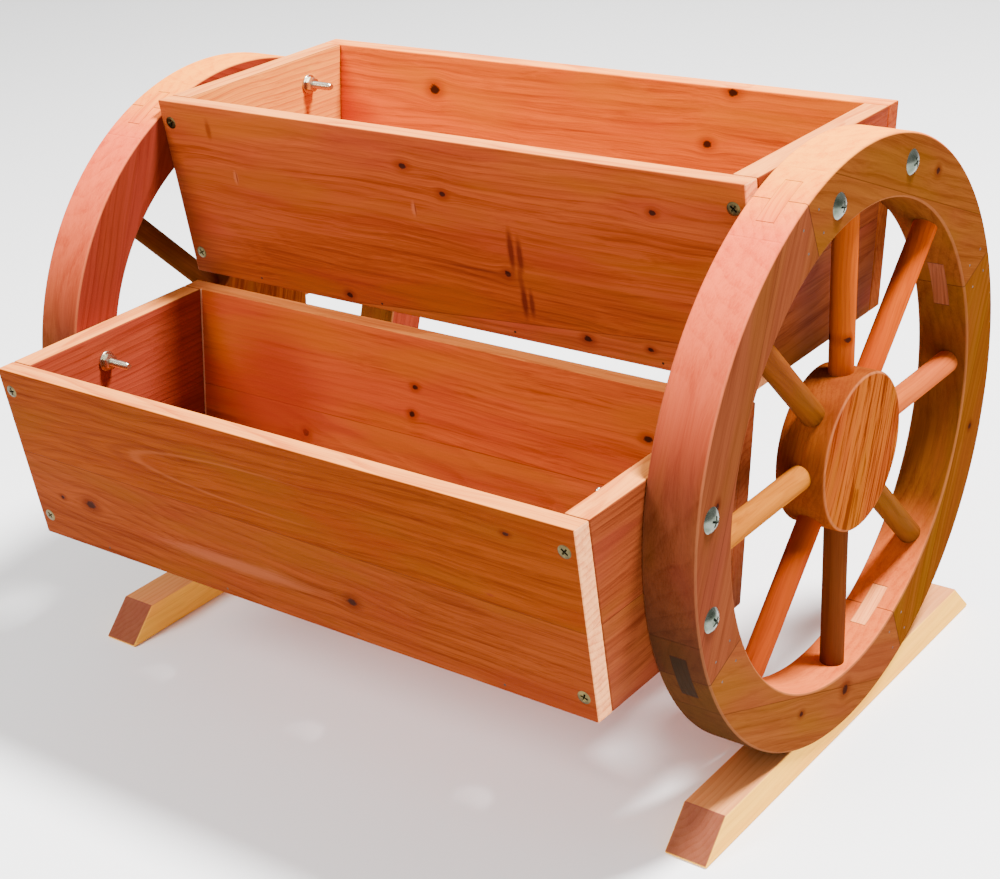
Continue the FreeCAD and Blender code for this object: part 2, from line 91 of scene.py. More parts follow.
# ---------------------------------------------------------------- trough front and back boards
# Softwood boards, each glued up from two strips, planed, with sanded arrises and a red-orange
# oil stain. The grain runs along the trough, bends round the knots and shows as rings on the ends.
class Tone:
    """A value or colour that varies over a surface; arithmetic on it adds shader maths."""

    def __init__(self, tree, socket):
        self.tree = tree
        self.socket = socket

    def node(self, kind, values=None, out=0, **settings):
        """Add a node of a kind: its settings first, then the values or links of its sockets."""
        made = self.tree.nodes.new("ShaderNode" + kind)
        for key, setting in settings.items():
            setattr(made, key, setting)
        for key, value in (values or {}).items():
            if isinstance(value, Tone):
                self.tree.links.new(value.socket, made.inputs[key])
            else:
                made.inputs[key].default_value = value
        return Tone(self.tree, made.outputs[out])

    def math(self, operation, other=0.0):
        return self.node("Math", {0: self, 1: other}, operation=operation)

    def __add__(self, other):
        return self.math("ADD", other)

    def __sub__(self, other):
        return self.math("SUBTRACT", other)

    def __rsub__(self, other):
        return self.node("Math", {0: other, 1: self}, operation="SUBTRACT")

    def __mul__(self, other):
        return self.math("MULTIPLY", other)

    def __pow__(self, power):
        return self.math("POWER", power)

    def __abs__(self):
        return self.math("ABSOLUTE")

    __radd__ = __add__
    __rmul__ = __mul__

    def step(self, low, high):
        """0 where the value is below low, 1 above high, smooth between."""
        return self.node("MapRange", {"Value": self, "From Min": low, "From Max": high},
                         interpolation_type="SMOOTHSTEP")

    def line(self, core, edge):
        """1 where the value is nearly zero, 0 where it is further than edge from it."""
        return 1 - abs(self).step(core, edge)

    def along(self, direction, start=(0, 0, 0)):
        """Distance in mm from start, measured along a direction."""
        direction = Vector(direction).normalized()
        reach = self.node("VectorMath", {0: self, 1: direction * 1000}, out="Value", operation="DOT_PRODUCT")
        return reach - direction.dot(Vector(start))

    def vector(self, y, z):
        return self.node("CombineXYZ", {"X": self, "Y": y, "Z": z})

    def part(self, axis):
        return self.node("SeparateXYZ", {"Vector": self}, out=axis)

    def mm(self, axis):
        return self.part(axis) * 1000

    def scaled(self, size):
        return self.node("VectorMath", {0: self, 1: (size, size, size)}, operation="MULTIPLY")

    def noise(self, detail, rough, color=False):
        return self.node("TexNoise", {"Vector": self, "Scale": 1.0, "Detail": detail, "Roughness": rough},
                         out="Color" if color else "Fac")

    def blend(self, low, high, pale, deep):
        """From a pale colour to a deep one, as the value goes from low to high."""
        return self.node("Mix", {"Factor": self.step(low, high), 6: (*pale, 1), 7: (*deep, 1)},
                         out=2, data_type="RGBA")

    def mix(self, other, share):
        """This colour, with a share of another over it."""
        if isinstance(other, tuple):
            other = (*other, 1)
        return self.node("Mix", {"Factor": share, 6: self, 7: other}, out=2, data_type="RGBA")

    def times(self, other):
        return self.node("Mix", {"Factor": 1.0, 6: self, 7: (*other, 1)}, out=2, data_type="RGBA",
                         blend_type="MULTIPLY")


def shade(color, red, green, blue):
    return (min(color[0] * red, 1.0), min(color[1] * green, 1.0), min(color[2] * blue, 1.0))


def grained(depth, color):
    """A colour that goes deeper with the grain."""
    return depth.blend(0.15, 0.95, shade(color, 1.08, 1.15, 1.2), shade(color, 0.72, 0.52, 0.50))


def new_finish(name):
    """A new material: its node tree, its shader and the place on the cart, in metres."""
    material = bpy.data.materials.new(name)
    material.use_nodes = True
    tree = material.node_tree
    place = Tone(tree, tree.nodes.new("ShaderNodeTexCoord").outputs["Object"])
    return material, tree, tree.nodes["Principled BSDF"], place


KNOT_DARK = (0.020, 0.006, 0.004)
SECOND_STRIP = 173.0
FAINT_SHINE = 0.01
NO_SHINE = 0.0


def stained_wood(name, along, across, start, stain, seed, pith, tilt, gap, knots=(), marks=(), marked=0.0,
                 glue=None, pale=(), gloss=0.0, shine=FAINT_SHINE, figure=1.0, extra=None):
    """Wood with its grain along one direction, and growth rings, gap mm apart, round a pith whose place
    across the piece is given, and which tilts. Knots and marks are (along, across, length, height) in mm
    from start, the marks only on the face past the depth marked. glue is a joint between two strips
    (across at the start, slope, tone of the strip beyond). pale lists faces given a colour of their own:
    faces that the stain has coloured less, and faces with painted light and painted shade, as (direction,
    place, share, colour)."""
    material, tree, shader, place = new_finish(name)
    along, across = Vector(along).normalized(), Vector(across).normalized()
    u = place.along(along, start)
    v = place.along(across, start)
    w = place.along(along.cross(across), start)

    # The strip beyond a glue joint comes from another part of the tree.
    strip_v = v
    if glue:
        joint = v - (u * glue[1] + glue[0])
        strip = joint.step(-0.05, 0.05)
        strip_v = v + strip * SECOND_STRIP

    # The grain wanders slowly, and bends round the ragged knots.
    shift = (u * 0.0054 + seed * 37.0).vector(strip_v * 0.021 + seed * 11.0, w * 0.021).noise(2.0, 0.55, True)
    bend, core, halo = 0.0, 0.0, 0.0
    if knots:
        ragged = (u * 0.30).vector(v * 0.38, w * 0.10).noise(3.0, 0.65) * 3.0 - 0.3
    for knot_u, knot_v, length, height in knots:
        du = (u - knot_u) * (2 / length)
        dv = (v - knot_v) * (2 / height)
        reach = du * du + dv * dv
        pull = (reach * -0.14).math("EXPONENT")
        bend = (v - knot_v) * pull * -0.75 + bend
        ragged_reach = reach * ragged
        core = (ragged_reach * abs(ragged_reach) * -0.9).math("EXPONENT") + core
        halo = pull + halo
    grain_v = strip_v + (shift.part("X") - 0.5) * 16.0 + bend
    grain_w = w + (shift.part("Y") - 0.5) * 20.0

    # Growth rings, each pale at first and dark late in its year.
    pith_v = grain_v - pith[0]
    pith_w = grain_w - pith[1] + u * tilt
    ring = (pith_v * pith_v + pith_w * pith_w).math("SQRT") * (1 / gap) + (shift.part("Z") - 0.5)
    year = ring.math("FRACT")
    late = year ** 3.0 * (1 - year ** 14.0)

    # Fine fibres, broader streaks, and patches where the stain took redder or yellower.
    fibre = (u * 0.016 + seed).vector(grain_v * 1.15, grain_w * 1.15).noise(3.0, 0.6)
    streak = (u * 0.0045 + seed * 3.1).vector(grain_v * 0.15, grain_w * 0.15).noise(4.0, 0.6)
    patch = (u * 0.007 + seed * 5.7).vector(strip_v * 0.030, w * 0.030).noise(2.0, 0.5, True)

    depth = late * (0.30 * figure) + (streak - 0.5) * (1.25 * figure) + (fibre - 0.5) * (0.85 * figure) + 0.36
    tone = depth.blend(0.0, 1.0, shade(stain, 1.22, 1.3, 1.35), shade(stain, 0.58, 0.42, 0.42))
    redder, yellower = shade(stain, 0.98, 0.70, 1.3), shade(stain, 0.96, 1.30, 0.6)
    tone = tone.mix(redder, patch.part("X").step(0.48, 0.68) * min(0.55, 0.5 * figure))
    tone = tone.mix(yellower, patch.part("Y").step(0.48, 0.68) * min(0.6, 0.55 * figure))
    if glue:
        tone = tone.mix(tone.times(glue[2]), strip)
        tone = tone.mix(shade(stain, 0.25, 0.2, 0.2), joint.line(0.1, 0.6) * 0.4)
    if knots:
        tone = tone.mix(shade(stain, 0.45, 0.24, 0.3), halo.step(0.25, 1.05) * 0.7)
        tone = tone.mix(KNOT_DARK, core.step(0.2, 0.85) * 0.92)
    if marks:
        on_face = w.step(marked - 0.5, marked + 0.5)
    for mark_u, mark_v, length, height, color, share in marks:
        du = (u - mark_u) * (2 / length)
        dv = (v - mark_v) * (2 / height)
        spot = ((du * du + dv * dv) * fibre * -2.0).math("EXPONENT")
        tone = tone.mix(color, spot.step(0.15, 0.9) * on_face * share)
    # Listed faces get their own tones, some of them painted light and painted shade.
    for direction, edge, share, color in pale:
        face_tone = grained(depth + late * 0.2, color)
        tone = tone.mix(tone.mix(face_tone, share), place.along(direction).step(edge - 0.45, edge + 0.1))
    if extra:
        tone = extra(tone, place, u, v, depth)

    # The late wood stands up a little, the knots and the glue line lie lower.
    relief = fibre * 0.6 + late * 0.5
    if knots:
        relief = relief - core * 1.2
    if glue:
        relief = relief + abs(joint).step(0.1, 0.6)
    bump = relief.node("Bump", {"Height": relief, "Strength": 0.35, "Distance": 0.0005})

    tree.links.new(tone.socket, shader.inputs["Base Color"])
    tree.links.new((fibre * 0.22 + late * 0.06 + (0.34 - gloss * 0.2)).socket, shader.inputs["Roughness"])
    tree.links.new(bump.socket, shader.inputs["Normal"])
    shader.inputs["Specular IOR Level"].default_value = shine
    shader.inputs["Specular Tint"].default_value = (1.0, 0.42, 0.16, 1)
    shader.inputs["Coat Weight"].default_value = gloss
    shader.inputs["Coat Roughness"].default_value = 0.22
    return material


def finish_with(node_name, material):
    """Give a carried-over piece its finish."""
    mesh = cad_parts[node_name].data
    mesh.materials.clear()
    mesh.materials.append(material)


TROUGH_TALL = 140
END_FACE = 250
LEAN = math.atan2(18, TROUGH_TALL)
UP_FRONT = (0, -math.sin(LEAN), math.cos(LEAN))
UP_BACK = (0, math.sin(LEAN), math.cos(LEAN))
OUTER_SKIN, INNER_SKIN = -1.5, 13.5
PALE_END = (0.86, 0.34, 0.12)
# Painted shadow: the back boards' ends, which lie in the wheels' shadow, are painted dark.
SHADED_END = (0.14, 0.032, 0.010)
DARK_BRANCH = (0.13, 0.018, 0.006)
BRANCH_CORE = (0.095, 0.011, 0.005)
DENT = (0.42, 0.11, 0.045)


# Top faces painted pale: partly less stained, partly a painted highlight where the light falls on them.
def top_edge(z):
    return ((0, 0, 1), z, 0.85, (0.92, 0.30, 0.06))


def hook_figure(tone, place, u, v, depth):
    """The growth rings of the lower front board come to a long rounded tip."""
    du = (u - 20.0) * (1 / 139)
    dv = (v - 99.0) * (1 / 15)
    reach = (du * du + dv * dv).math("SQRT") + (depth - 0.4) * 0.06
    fade = 1 - u.step(-30.0, 70.0)
    tone = tone.mix((0.26, 0.070, 0.024), (reach - 1.02).line(0.01, 0.07) * fade * 0.26)
    tone = tone.mix((0.085, 0.012, 0.003), (reach - 1.16).line(0.01, 0.08) * fade * 0.35)
    return tone.mix((0.10, 0.015, 0.004), (reach - 1.42).line(0.01, 0.10) * fade * 0.25)


def long_board(tier, row, y, z, stain, seed, pith, tilt, glue, knots, marks=(), extra=None):
    """Finish a front or back board whose outer lower edge is at y, z."""
    if row == "front":
        up, marked, end_color = UP_FRONT, OUTER_SKIN, PALE_END
    else:
        # The back boards' ends get painted shadow.
        up, marked, end_color = UP_BACK, INNER_SKIN, SHADED_END
    pale = [((sign, 0, 0), END_FACE - 0.4, 0.85, end_color) for sign in (1, -1)]
    pale.append(top_edge(z + TROUGH_TALL))
    name = f"{tier}_trough_{row}_board"
    finish_with(name, stained_wood(name, (1, 0, 0), up, (0, y, z), stain, seed, pith, tilt, 5.0, knots, marks,
                                   marked, glue, pale, extra=extra))


long_board("lower", "front", -226, 138, stain=(0.148, 0.027, 0.0048), seed=3, pith=(128, -60), tilt=-0.16,
           glue=(70.0, -0.010, (0.94, 0.92, 0.55)),
           knots=[(-187.5, 40.6, 11, 7.5), (60.2, 31.4, 9, 6.5), (199.1, 124.7, 5, 3), (-218.4, 39.3, 4, 3)],
           marks=[(179.9, 74.6, 7, 2.5, DARK_BRANCH, 0.7), (-45, 30, 160, 12, (0.22, 0.055, 0.022), 0.6)],
           extra=hook_figure)
long_board("lower", "back", -56, 138, stain=(0.44, 0.082, 0.016), seed=8, pith=(30, -70), tilt=0.06,
           glue=(64, 0.004, (1.0, 0.9, 0.85)),
           knots=[(-17.1, 101.4, 6, 4), (-19.8, 80.4, 6, 5), (-124.1, 44.2, 7, 6), (180.6, 104.8, 8, 5)],
           marks=[(-160, 60, 120, 140, (0.30, 0.028, 0.012), 0.7),
                  (-231.8, 70, 2.2, 400, (0.80, 0.42, 0.22), 0.9)])
long_board("upper", "front", -36, 285, stain=(0.32, 0.060, 0.017), seed=14, pith=(90, -55), tilt=0.05,
           glue=(8.0, 0.075, (0.85, 0.80, 0.62)),
           knots=[(-18.2, 118.3, 8, 5), (13.5, 101.9, 6, 4.5), (182.2, 112.8, 6, 4.5), (60.8, 49.8, 6, 5),
                  (-90.6, 6.7, 6, 5), (121.5, 11.7, 7, 5), (171.4, 13.4, 5, 3.5)],
           marks=[(-202.4, 122.8, 6, 16, DARK_BRANCH, 0.7), (66, 68, 6, 34, BRANCH_CORE, 0.9),
                  (73, 65, 6, 28, BRANCH_CORE, 0.85), (72, 31, 6, 28, BRANCH_CORE, 0.9),
                  (78, 30, 5, 22, BRANCH_CORE, 0.8), (71, 49, 5, 20, DARK_BRANCH, 0.6),
                  (34, 49, 60, 2.4, DARK_BRANCH, 0.8),
                  (-184.0, 87.1, 5, 12, DENT, 0.5), (-14.0, 87.1, 5, 12, DENT, 0.5),
                  (-183.0, 87.1, 1.6, 11, DARK_BRANCH, 0.8), (-12.6, 87.1, 1.6, 11, DARK_BRANCH, 0.8)])
long_board("upper", "back", 134, 285, stain=(0.72, 0.135, 0.007), seed=21, pith=(50, -80), tilt=-0.04,
           glue=(78, -0.003, (0.96, 0.95, 1.0)),
           knots=[(-134.1, 112.6, 10, 8), (113.7, 98.0, 8, 6), (131.9, 136.0, 9, 6)])

# ---------------------------------------------------------------- trough end boards
# Softwood boards let in between the front and back board, with their grain from front to back.
# The screws of the long boards bite into their ends, and the wheels are bolted to them.
SIDES = (("right", 1), ("left", -1))
TROUGHS = (("lower", -141, 138), ("upper", 49, 285))
INSIDE_END = 232
# Inside faces of the end boards: the upper ones painted bright, as painted light; the lower ones darker.
INSIDE_TONES = {"lower": (0.30, 0.042, 0.018), "upper": (0.95, 0.28, 0.03)}
for side, sign in SIDES:
    for tier, y, z in TROUGHS:
        name = f"{tier}_trough_{side}_end_board"
        # The inside face tone, with painted light on the upper trough.
        inside = ((-sign, 0, 0), -INSIDE_END, 0.85, INSIDE_TONES[tier])
        finish_with(name, stained_wood(name, (0, 1, 0), (0, 0, 1), (sign * END_FACE, y, z), (0.16, 0.034, 0.010),
                                       31 + sign * 3 + z / 50, (60, -70 * sign), 0.05, 4.5, [(30, 60, 7, 5)],
                                       glue=(66, 0.0, (1.0, 0.95, 0.9)), pale=[inside, top_edge(z + TROUGH_TALL)],
                                       figure=1.1))

# ---------------------------------------------------------------- trough floor boards
# One softwood board in the bottom of each trough, bored with three drain holes and nailed
# through the front and back board.
for tier, y, z in TROUGHS:
    name = f"{tier}_trough_floor_board"
    finish_with(name, stained_wood(name, (1, 0, 0), (0, 1, 0), (0, y, z), (0.42, 0.065, 0.014), 50 + z / 40,
                                   (20, -50), 0.03, 4.5, [(-90, 20, 9, 7), (140, -35, 10, 8)]))

# ---------------------------------------------------------------- wheel rims
# Four sawn felloes a wheel, each glued up from two boards with its grain along the chord,
# so that the growth rings cut across the tread. The joints show as fine dark lines.
WHEEL_X = 269
AXLE = (34, 222)
TREAD_RADIUS = 210
INSIDE_RADIUS = 168
RIM_HALF_WIDE = 19
JOINT_LINE = (0.03, 0.009, 0.005)
# Arrises rubbed pale by wear, with a painted highlight on them.
RUBBED_AND_HIGHLIGHT = (0.42, 0.15, 0.06)
FELLOES = {"rear_upper": ((0.120, 0.033, 0.006), [(-30, 190, 6, 5)]),
           "front_upper": ((0.121, 0.0295, 0.0105), [(34, 186, 6, 4)]),
           "front_lower": ((0.139, 0.0385, 0.009), [(-4, 183, 6, 4), (62, 172, 9, 8)]),
           "rear_lower": ((0.108, 0.031, 0.004), [(20, 188, 5, 5)])}


def turned_by(degrees):
    """The directions round and out from the axle at an angle from the rear."""
    turn = math.radians(degrees)
    return (0, -math.sin(turn), math.cos(turn)), (0, math.cos(turn), math.sin(turn))


def from_rim_middle(place):
    return abs(abs(place.mm("X")) - WHEEL_X)


def wear_and_painted_light(tone, place, depth):
    """The tread is painted in shade below and painted lit towards the top, the lowest part of the inside of the
    rim is painted lit, and the arrises of the rim are rubbed pale with a painted highlight.
    """
    y = place.mm("Y") - AXLE[0]
    z = place.mm("Z") - AXLE[1]
    reach = (y * y + z * z).math("SQRT")
    # Painted shade: the lower tread, which faces down, is darkened.
    tread = tone.mix((0.022, 0.012, 0.006), (1 - z.step(-70.0, 15.0)) * 0.72)
    # Painted light: the upper tread is brightened towards its top.
    painted_lit_top = grained(depth, (0.74, 0.105, 0.036)).mix(grained(depth, (1.0, 0.27, 0.015)), z.step(178.0, 209.0))
    tread = tread.mix(tone.mix(painted_lit_top, z.step(20.0, 200.0)), z.step(-10.0, 90.0))
    tone = tone.mix(tread, reach.step(TREAD_RADIUS - 1.6, TREAD_RADIUS - 0.4))
    # Painted light: the lowest inside of the rim, which faces up, is painted pale.
    on_inside = 1 - reach.step(INSIDE_RADIUS + 0.1, INSIDE_RADIUS + 0.6)
    tone = tone.mix(grained(depth, (0.60, 0.115, 0.020)), on_inside * (1 - z.step(-150.0, -90.0)) * 0.9)
    # The arrises are rubbed pale, with a painted highlight on them.
    near_edge = 1 - reach.step(INSIDE_RADIUS + 1.0, INSIDE_RADIUS + 1.8)
    near_edge = reach.step(TREAD_RADIUS - 1.8, TREAD_RADIUS - 1.0) + near_edge
    arris = from_rim_middle(place).step(RIM_HALF_WIDE - 2.0, RIM_HALF_WIDE - 0.8) * near_edge
    return tone.mix(RUBBED_AND_HIGHLIGHT, arris * (1 - reach.step(TREAD_RADIUS - 0.2, TREAD_RADIUS)) * 0.22)


def rim_tone(tone, place, u, v, depth):
    return wear_and_painted_light(tone, place, depth).mix(JOINT_LINE, (v - abs(u)).line(0.1, 0.9) * 0.8)


for side, sign in SIDES:
    # Painted shade: the left wheel's inner face, kept from the light by the troughs, is painted dark.
    shaded_inner_face = [((1, 0, 0), RIM_HALF_WIDE - WHEEL_X, 0.8, (0.19, 0.019, 0.010))] if side == "left" else ()
    for quarter, (label, (stain, knots)) in enumerate(FELLOES.items()):
        name = f"{side}_wheel_{label}_felloe"
        finish_with(name, stained_wood(name, *turned_by(67.5 + 90 * quarter), (sign * WHEEL_X, *AXLE), stain,
                                       61 + quarter * 7 + sign, (120, -60 * sign), 0.04, 6.0, knots,
                                       glue=(170, 0.0, (0.95, 0.95, 0.95)), pale=shaded_inner_face, shine=NO_SHINE,
                                       figure=0.8, extra=rim_tone))

# ---------------------------------------------------------------- keys in the rim joints
# Flat wooden tongues glued across each joint and planed flush with the tread and the inside of
# the rim. One is nearly black, and one is paler inside the rim, where it also takes the painted light of the
# rim's lowest inside.
KEY_HALF_LONG = 19.5
KEY_HALF_THICK = 6
# Each key's tone, and for one its inside tone: paler than the rim, and painted lit.
KEY_TONES = (((0.17, 0.05, 0.018), None), ((0.17, 0.05, 0.018), None), ((0.018, 0.008, 0.005), None),
              ((0.50, 0.15, 0.05), (0.88, 0.30, 0.09)))


def key_tone(tone, place, u, v, depth, inner_color):
    tone = wear_and_painted_light(tone, place, depth)
    # Painted light: this key's inside face is paler and painted lit, like the rim's lowest inside.
    if inner_color:
        on_inside = 1 - v.step(INSIDE_RADIUS + 4.0, INSIDE_RADIUS + 8.0)
        tone = tone.mix(grained(depth, inner_color), on_inside * 0.85)
    beside = from_rim_middle(place).step(KEY_HALF_THICK - 0.6, KEY_HALF_THICK - 0.1)
    tone = tone.mix(JOINT_LINE, beside * 0.4)
    return tone.mix(JOINT_LINE, abs(u).step(KEY_HALF_LONG - 0.8, KEY_HALF_LONG - 0.2) * 0.9)


for side, sign in SIDES:
    for joint, (stain, inner_color) in enumerate(KEY_TONES):
        name = f"{side}_wheel_rim_key_{joint + 1}"
        finish_with(name, stained_wood(name, *turned_by(22.5 + 90 * joint), (sign * WHEEL_X, *AXLE), stain,
                                       90 + joint * 3 + sign, (150, 40), 0.02, 2.5,
                                       extra=lambda *surface: key_tone(*surface, inner_color)))

# ---------------------------------------------------------------- hubs
# A thick disc sawn from one softwood board, proud of the rim, with blind holes for the spokes.
# Its streaky grain leans across the face, and its edge is painted darker and plainer, as painted shade.
HUB_RADIUS = 55
HUB_FACE = 290.5


def hub_tone(tone, place, u, v, depth):
    reach = (u * u + v * v).math("SQRT")
    face = abs(place.mm("X")).step(HUB_FACE - 1.1, HUB_FACE - 0.1)
    tone = tone.mix(tone.times((0.62, 0.46, 0.42)), depth.step(0.42, 0.80) * face * 0.8)
    # Painted shade: the hub's edge, which the rim keeps out of the light, is painted dark.
    shaded_side = reach.step(HUB_RADIUS - 1.4, HUB_RADIUS - 0.4) * (1 - face)
    tone = tone.mix(tone.mix((0.125, 0.024, 0.004), 0.65), shaded_side)
    # The hub's arris is rubbed pale, with a painted highlight.
    arris = reach.step(HUB_RADIUS - 2.2, HUB_RADIUS - 1.4) * (1 - reach.step(HUB_RADIUS - 0.6, HUB_RADIUS - 0.1))
    return tone.mix(RUBBED_AND_HIGHLIGHT, arris * 0.3)


for side, sign in SIDES:
    name = f"{side}_wheel_hub"
    finish_with(name, stained_wood(name, (0, 0.34, 0.94), (0, 0.94, -0.34), (sign * 272, *AXLE),
                                   (0.21, 0.046, 0.005), 101 + sign, (-10, -60), 0.05, 2.8, shine=NO_SHINE,
                                   figure=2.2, extra=hub_tone))

# ---------------------------------------------------------------- spokes
# Turned dowels glued into blind holes in hub and rim, glossier than the boards. Each is coloured
# differently, from bright orange to brown, mostly as painted light and shade, the lit spokes bright and the
# shaded ones dark, and partly as dowels that took the stain differently. One has a small dark knot near the hub.
# Painted light and shade: lit spokes bright orange, spokes turned from the light dark brown.
SPOKE_LIT_AND_SHADED_TONES = ((0.36, 0.075, 0.012), (0.34, 0.050, 0.002), (0.30, 0.052, 0.003), (0.12, 0.030, 0.004),
                (0.29, 0.085, 0.006), (0.22, 0.030, 0.003), (0.09, 0.020, 0.004), (0.11, 0.030, 0.004))
SPOKE_KNOTS = {"right_wheel_spoke_3": [(79.5, 5.0, 4.5, 4)]}
for side, sign in SIDES:
    for spoke, stain in enumerate(SPOKE_LIT_AND_SHADED_TONES):
        around, outward = turned_by(45 * spoke)
        name = f"{side}_wheel_spoke_{spoke + 1}"
        finish_with(name, stained_wood(name, outward, around, (sign * 272.5, *AXLE), stain,
                                       120 + spoke * 5 + sign, (30, -20), 0.02, 3.0, SPOKE_KNOTS.get(name, ()),
                                       gloss=0.015, shine=NO_SHINE, figure=0.7))

# ---------------------------------------------------------------- runners
# Softwood bars with slanted ends and a hollow for the wheel, screwed on from below and less
# deeply stained than the rest, and painted paler still, as painted light on their sides; their sawn ends are
# redder.
SAWN_END = (0.128, 0.0225, 0.026)
for side, sign in SIDES:
    name = f"{side}_runner"
    # Painted light: the runners are painted near white-orange, partly less stain, partly the light on their
    # sides.
    finish_with(name, stained_wood(name, (0, 1, 0), (1, 0, 0), (sign * WHEEL_X, 41, 0), (0.98, 0.42, 0.05),
                                   170 + sign, (-20, -40), 0.03, 4.0, shine=NO_SHINE, figure=0.4,
                                   pale=[((0, 0, 1), 26.8, 0.8, (0.50, 0.17, 0.075)),
                                         ((0, -1, 1), 114.55, 1.0, SAWN_END),
                                         ((0, 1, 1), 172.5, 1.0, SAWN_END)]))


# ---------------------------------------------------------------- wheel bolts
# Zinc-plated M6 machine bolts with a domed head and cross recess, through rim and end board;
# their threaded ends stand out of the nuts inside the troughs, where the plating is painted brighter, as painted
# reflection.
def zinc(name, color, roughness, dull, inside=None):
    """Plated steel, cloudy from one colour to a duller one; inside is a brighter colour within the troughs, a
    painted reflection.
    """
    material, tree, shader, place = new_finish(name)
    fine = place.scaled(900.0).noise(3.0, 0.6)
    cloud = place.scaled(160.0).noise(2.0, 0.5)
    tone = cloud.blend(0.35, 0.7, color, dull)
    if inside:
        # Painted reflection: within the troughs the same plating is painted brighter.
        tone = tone.mix(inside, 1 - abs(place.mm("X")).step(INSIDE_END - 0.1, INSIDE_END + 0.1))
    bump = fine.node("Bump", {"Height": fine, "Strength": 0.12, "Distance": 0.0002})
    tree.links.new(tone.socket, shader.inputs["Base Color"])
    tree.links.new((fine * 0.18 + cloud * 0.12 + roughness).socket, shader.inputs["Roughness"])
    tree.links.new(bump.socket, shader.inputs["Normal"])
    shader.inputs["Metallic"].default_value = 1.0
    return material


def edit(piece):
    """Start shaping one piece with nothing on it selected."""
    bpy.ops.object.select_all(action="DESELECT")
    piece.select_set(True)
    bpy.context.view_layer.objects.active = piece
    bpy.ops.object.mode_set(mode="EDIT")
    bpy.ops.mesh.select_all(action="DESELECT")
    return bmesh.from_edit_mesh(piece.data)


def use_modifier(piece, kind, **settings):
    modifier = piece.modifiers.new(kind.lower(), kind)
    for key, setting in settings.items():
        setattr(modifier, key, setting)
    with bpy.context.temp_override(object=piece, active_object=piece, selected_objects=[piece]):
        bpy.ops.object.modifier_apply(modifier=modifier.name)


def cut_away(piece, tool, operation="DIFFERENCE"):
    use_modifier(piece, "BOOLEAN", operation=operation, object=tool, solver="EXACT")
    bpy.data.objects.remove(tool)


def turned(profile, sides):
    """A turned piece about Z: a disc extruded and resized from one (radius, Z) in mm to the next."""
    (radius, z), *others = profile
    bpy.ops.mesh.primitive_circle_add(vertices=sides, radius=radius / 1000, fill_type="NGON",
                                      location=(0, 0, z / 1000))
    piece = bpy.context.object
    bpy.ops.object.transform_apply(location=True)
    edit(piece)
    bpy.ops.mesh.select_all(action="SELECT")
    for next_radius, next_z in others:
        bpy.ops.mesh.extrude_region_move(TRANSFORM_OT_translate={"value": (0, 0, (next_z - z) / 1000)})
        bpy.ops.transform.resize(value=(next_radius / radius, next_radius / radius, 1),
                                 center_override=(0, 0, next_z / 1000))
        radius, z = next_radius, next_z
    bpy.ops.mesh.select_all(action="SELECT")
    bpy.ops.mesh.normals_make_consistent(inside=False)
    bpy.ops.object.mode_set(mode="OBJECT")
    return piece


def cross_recess(head, width, top, depth):
    """Press the cross for a driver into a head whose top, at Z = top, points down."""
    for turn in (0, math.pi / 2):
        bpy.ops.mesh.primitive_cube_add(size=0.001)
        blade = bpy.context.object
        blade.scale = (width, width * 0.22, depth + 0.3)
        blade.location = (0, 0, (top + (depth - 0.3) / 2) / 1000)
        blade.rotation_euler = (0, 0, turn)
        bpy.ops.object.transform_apply(location=True, rotation=True, scale=True)
        mesh = edit(blade)
        for face in mesh.faces:
            face.select_set(face.normal.z > 0.5)
        bpy.ops.transform.resize(value=(0.3, 0.3, 1), center_override=(0, 0, (top + depth) / 1000))
        bpy.ops.object.mode_set(mode="OBJECT")
        cut_away(head, blade)


def thread(radius, root, pitch, start, end):
    """The ridge of a screw thread about Z, wound from start to end and dying out into the core there."""
    bpy.ops.mesh.primitive_plane_add(size=0.001)
    piece = bpy.context.object
    mesh = edit(piece)
    bmesh.ops.delete(mesh, geom=mesh.verts[:], context="VERTS")
    corners = [mesh.verts.new((reach / 1000, 0, (start + pitch * rise) / 1000))
               for reach, rise in ((root, 0.0), (radius, 0.42), (radius, 0.58), (root, 1.0))]
    for here, after in zip(corners, corners[1:]):
        mesh.edges.new((here, after))
    bmesh.update_edit_mesh(piece.data)
    bpy.ops.object.mode_set(mode="OBJECT")
    use_modifier(piece, "SCREW", axis="Z", angle=math.tau, screw_offset=pitch / 1000,
                 iterations=round((end - start) / pitch), steps=16, render_steps=16,
                 use_merge_vertices=True, merge_threshold=1e-6)
    mesh = edit(piece)
    bmesh.ops.remove_doubles(mesh, verts=mesh.verts[:], dist=1e-6)
    bmesh.ops.holes_fill(mesh, edges=[edge for edge in mesh.edges if edge.is_boundary], sides=0)
    for vertex in mesh.verts:
        share = min(1.0, max(0.0, (end / 1000 - vertex.co.z) / (1.5 * pitch / 1000)))
        limit = (root * 0.8 + (radius - root * 0.8) * share) / 1000
        reach = math.hypot(vertex.co.x, vertex.co.y)
        if reach > limit:
            vertex.co.x *= limit / reach
            vertex.co.y *= limit / reach
    bmesh.ops.recalc_face_normals(mesh, faces=mesh.faces[:])
    bmesh.update_edit_mesh(piece.data)
    bpy.ops.object.mode_set(mode="OBJECT")
    return piece


def joined(*parts):
    bpy.ops.object.select_all(action="DESELECT")
    for part in parts:
        part.select_set(True)
    bpy.context.view_layer.objects.active = parts[0]
    bpy.ops.object.join()
    return parts[0]


